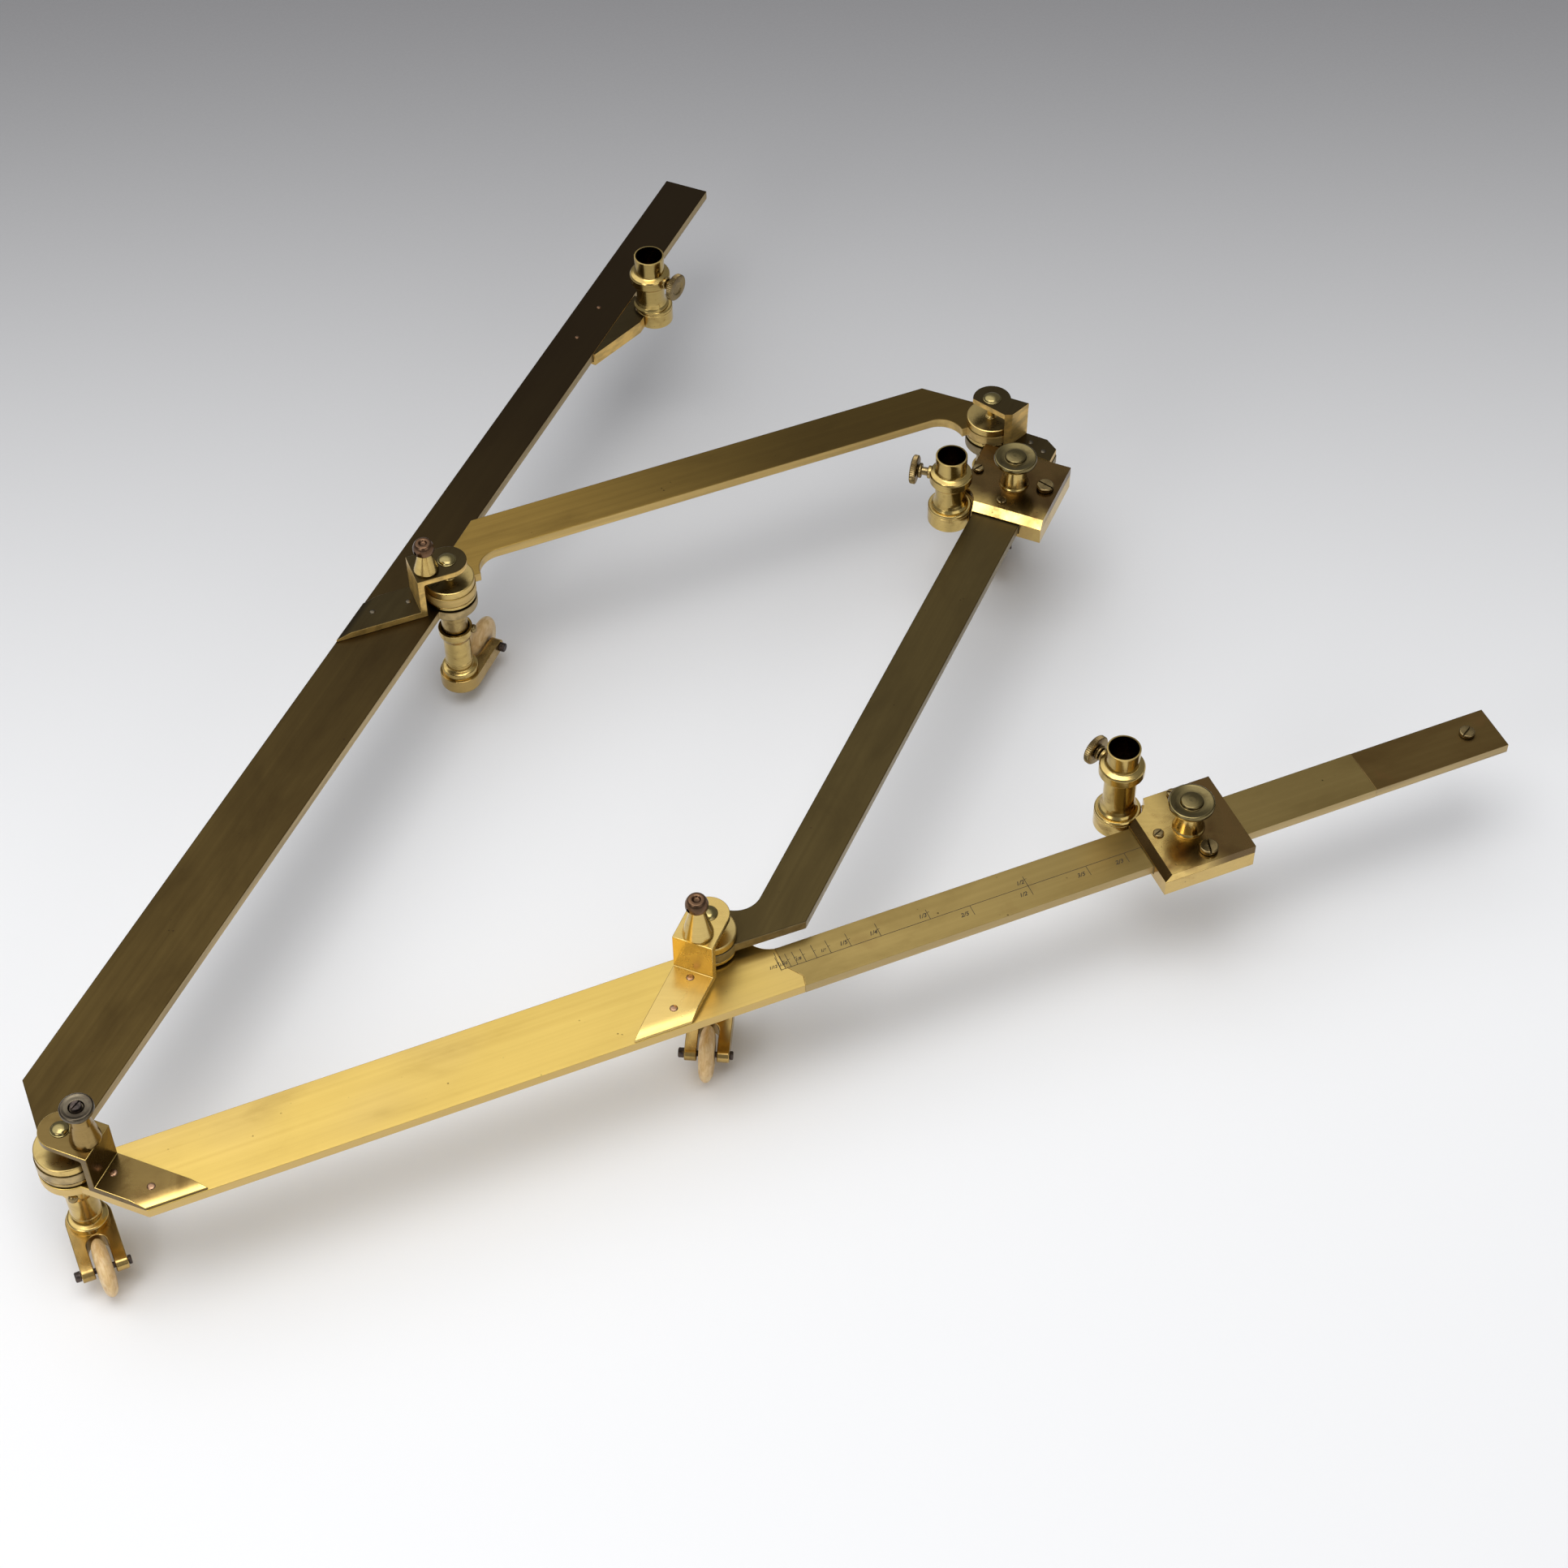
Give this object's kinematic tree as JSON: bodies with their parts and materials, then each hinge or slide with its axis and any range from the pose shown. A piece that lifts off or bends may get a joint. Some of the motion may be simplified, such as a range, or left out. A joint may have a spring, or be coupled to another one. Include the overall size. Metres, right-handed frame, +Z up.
{
  "type": "drafting pantograph",
  "caption": "Brass drafting pantograph: a parallelogram of hinged bars on swivelling castors, with clamped sliding sockets for fulcrum and pencil and a fixed tracer socket.",
  "frame": {"origin": "centre of the footprint, on the table the castor wheels stand on", "axes": "+X along the long bar B away from its corner joint, +Y towards the other long bar, +Z up off the table"},
  "size_m": [0.5428, 0.4308, 0.0873],
  "materials": {
    "bar_gold": "brushed gold brass with light tarnish",
    "bar_dark": "old brass with a dark brown patina",
    "bar_olive": "old brass with an olive patina",
    "bridge_brass": "brushed brass with worn edges",
    "turned_brass": "turned brass, satin",
    "reddish_brass": "turned brass with a reddish brown patina",
    "slider_brass": "brass with a patchy dark patina",
    "screw_brass": "brass with dark recesses",
    "dark_steel": "blued steel, darkened",
    "ivory": "cream ivory, worn satin"
  },
  "bodies": {
    "bar_b": {"long_arm_b": "bar_gold", "bridge_o": "bridge_brass", "bridge_q": "bridge_brass", "pivot_screw_o": "screw_brass", "pivot_screw_q": "screw_brass", "guide_post_o": "turned_brass", "guide_post_screw": "dark_steel", "guide_post_q": "reddish_brass", "castor_stem_o": "turned_brass", "castor_stem_q": "turned_brass", "stop_screw_b": "screw_brass"},
    "bar_a": {"long_arm_a": "bar_dark", "pivot_boss_o": "turned_brass", "bridge_p": "bridge_brass", "pivot_screw_p": "screw_brass", "guide_post_p": "reddish_brass", "castor_stem_p": "turned_brass", "tracer_bracket": "bridge_brass", "tracer_socket": "turned_brass"},
    "bar_c": {"short_arm_c": "bar_olive", "pivot_boss_p": "turned_brass", "pivot_boss_r": "turned_brass"},
    "bar_d": {"short_arm_d": "bar_dark", "pivot_boss_q": "turned_brass", "bridge_r": "bridge_brass", "pivot_screw_r": "screw_brass", "castor_stem_r": "turned_brass"},
    "swivel_o": {"castor_swivel_o": "turned_brass", "castor_set_screw_o": "screw_brass", "castor_axle_o": "dark_steel"},
    "wheel_o": {"castor_wheel_o": "ivory"},
    "swivel_q": {"castor_swivel_q": "turned_brass", "castor_set_screw_q": "screw_brass", "castor_axle_q": "dark_steel"},
    "wheel_q": {"castor_wheel_q": "ivory"},
    "swivel_p": {"castor_swivel_p": "turned_brass", "castor_set_screw_p": "screw_brass", "castor_axle_p": "dark_steel"},
    "wheel_p": {"castor_wheel_p": "ivory"},
    "swivel_r": {"castor_swivel_r": "turned_brass", "castor_set_screw_r": "screw_brass", "castor_axle_r": "dark_steel"},
    "wheel_r": {"castor_wheel_r": "ivory"},
    "slider_b": {"slider_plate_b": "slider_brass", "slider_body_b": "slider_brass", "slider_screw_index_b": "screw_brass", "slider_screw_outer_b": "screw_brass", "slider_screw_inner_b": "screw_brass", "slider_b_socket": "turned_brass"},
    "clamp_b": {"clamp_knob_b": "turned_brass"},
    "thumb_b": {"slider_b_thumb_screw": "screw_brass"},
    "slider_d": {"slider_plate_d": "slider_brass", "slider_body_d": "slider_brass", "slider_screw_index_d": "screw_brass", "slider_screw_outer_d": "screw_brass", "slider_screw_inner_d": "screw_brass", "slider_d_socket": "turned_brass"},
    "clamp_d": {"clamp_knob_d": "turned_brass"},
    "thumb_d": {"slider_d_thumb_screw": "screw_brass"},
    "thumb_tracer": {"tracer_thumb_screw": "screw_brass"}
  },
  "joints": [
    {"name": "o_hinge", "type": "hinge", "parent": "bar_b", "child": "bar_a", "pos_m": [-0.2604, -0.17768, 0.0543], "axis": [0, 0, 1], "range_deg": [-20, 76]},
    {"name": "q_hinge", "type": "hinge", "parent": "bar_b", "child": "bar_d", "pos_m": [-0.0332, -0.17768, 0.0543], "axis": [0, 0, 1], "range_deg": [-20, 76]},
    {"name": "p_hinge", "type": "hinge", "parent": "bar_a", "child": "bar_c", "pos_m": [-0.06194, 0.01384, 0.0611], "axis": [0, 0, 1], "range_deg": [-76, 20]},
    {"name": "swivel_o_spin", "type": "hinge", "parent": "bar_b", "child": "swivel_o", "pos_m": [-0.2604, -0.17768, 0.03], "axis": [0, 0, 1], "continuous": true},
    {"name": "wheel_o_roll", "type": "hinge", "parent": "swivel_o", "child": "wheel_o", "pos_m": [-0.2604, -0.19658, 0.0102], "axis": [1, 0, 0], "continuous": true},
    {"name": "swivel_q_spin", "type": "hinge", "parent": "bar_b", "child": "swivel_q", "pos_m": [-0.0332, -0.17768, 0.03], "axis": [0, 0, 1], "continuous": true},
    {"name": "wheel_q_roll", "type": "hinge", "parent": "swivel_q", "child": "wheel_q", "pos_m": [-0.04199, -0.19441, 0.0102], "axis": [0.8854, -0.4648, 0], "continuous": true},
    {"name": "swivel_p_spin", "type": "hinge", "parent": "bar_a", "child": "swivel_p", "pos_m": [-0.06194, 0.01384, 0.03], "axis": [0, 0, 1], "continuous": true},
    {"name": "wheel_p_roll", "type": "hinge", "parent": "swivel_p", "child": "wheel_p", "pos_m": [-0.04867, 0.02729, 0.0102], "axis": [-0.712, 0.7022, 0], "continuous": true},
    {"name": "swivel_r_spin", "type": "hinge", "parent": "bar_d", "child": "swivel_r", "pos_m": [0.16526, 0.01384, 0.03], "axis": [0, 0, 1], "continuous": true},
    {"name": "wheel_r_roll", "type": "hinge", "parent": "swivel_r", "child": "wheel_r", "pos_m": [0.15827, -0.00372, 0.0102], "axis": [0.9291, -0.3697, 0], "continuous": true},
    {"name": "slider_b_slide", "type": "slide", "parent": "bar_b", "child": "slider_b", "axis": [1, 0, 0], "range_m": [-0.06, 0.095]},
    {"name": "slider_d_slide", "type": "slide", "parent": "bar_d", "child": "slider_d", "axis": [0.7196, 0.6944, 0], "range_m": [-0.19, 0]},
    {"name": "clamp_b_turn", "type": "hinge", "parent": "slider_b", "child": "clamp_b", "pos_m": [0.1433, -0.19768, 0.0635], "axis": [0, 0, 1], "range_deg": [0, 360]},
    {"name": "clamp_d_turn", "type": "hinge", "parent": "slider_d", "child": "clamp_d", "pos_m": [0.15972, -0.0193, 0.0703], "axis": [0, 0, 1], "range_deg": [0, 360]},
    {"name": "thumb_b_turn", "type": "hinge", "parent": "slider_b", "child": "thumb_b", "pos_m": [0.1254, -0.17768, 0.0704], "axis": [-0.3811, 0.9245, 0], "range_deg": [0, 360]},
    {"name": "thumb_d_turn", "type": "hinge", "parent": "slider_d", "child": "thumb_d", "pos_m": [0.13295, -0.01734, 0.0704], "axis": [-0.788, 0.6157, 0], "range_deg": [0, 360]},
    {"name": "thumb_tracer_turn", "type": "hinge", "parent": "bar_a", "child": "thumb_tracer", "pos_m": [0.06939, 0.14057, 0.0704], "axis": [0.5358, -0.8443, 0], "range_deg": [0, 360]}
  ],
  "couplings": [
    {"joint": "q_hinge", "follows": "o_hinge", "ratio": 1},
    {"joint": "p_hinge", "follows": "o_hinge", "ratio": -1}
  ]
}
